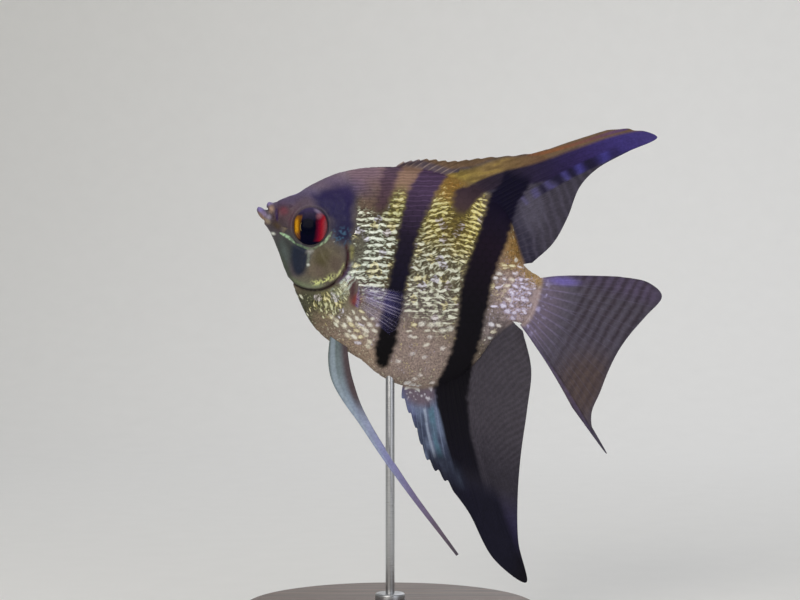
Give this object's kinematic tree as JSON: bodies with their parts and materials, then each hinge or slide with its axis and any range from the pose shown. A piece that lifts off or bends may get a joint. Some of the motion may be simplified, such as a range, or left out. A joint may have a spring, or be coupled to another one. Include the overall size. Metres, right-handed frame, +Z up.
{
  "type": "freshwater angelfish",
  "caption": "Disc-bodied striped aquarium fish with tall swept fins and trailing pelvic feelers, held nose-up on a rod above a round base.",
  "frame": {"origin": "centre of the underside of the stand's base, on the surface it rests on", "axes": "+Z up, along the rod; -X the way the fish faces; -Y towards the fish's left flank"},
  "size_m": [0.1011, 0.072, 0.1222],
  "materials": {
    "head_skin": "moist, nearly scaleless skin, mauve snout and indigo nape",
    "gill_skin": "moist olive-brown skin with a silvery rim",
    "eye": "wet, clear cornea over a yellow and red iris",
    "scales": "silvery, golden-backed scales with near-black upright bars",
    "dorsal_fin": "satin fin membrane, indigo with a mustard leading edge",
    "anal_fin": "satin fin membrane, blue-streaked in front and navy at the tip",
    "caudal_fin": "thin, faintly banded fin membrane",
    "pectoral_fin": "thin clear fin membrane on pale rays",
    "pelvic_fin": "satin, pale blue-white to lavender",
    "stand_wood": "oiled dark walnut",
    "stand_steel": "fine-brushed stainless steel"
  },
  "bodies": {
    "root": {"head": "head_skin", "lower_jaw": "head_skin", "gill_cover_left": "gill_skin", "gill_cover_right": "gill_skin", "eye_left": "eye", "eye_right": "eye", "trunk": "scales", "tail_root": "scales", "dorsal_fin": "dorsal_fin", "anal_fin": "anal_fin", "caudal_fin": "caudal_fin", "pectoral_fin_left": "pectoral_fin", "pectoral_fin_right": "pectoral_fin", "pelvic_fin_left": "pelvic_fin", "pelvic_fin_right": "pelvic_fin", "stand_base": "stand_wood", "stand_collar": "stand_steel", "stand_rod": "stand_steel"}
  },
  "joints": []
}
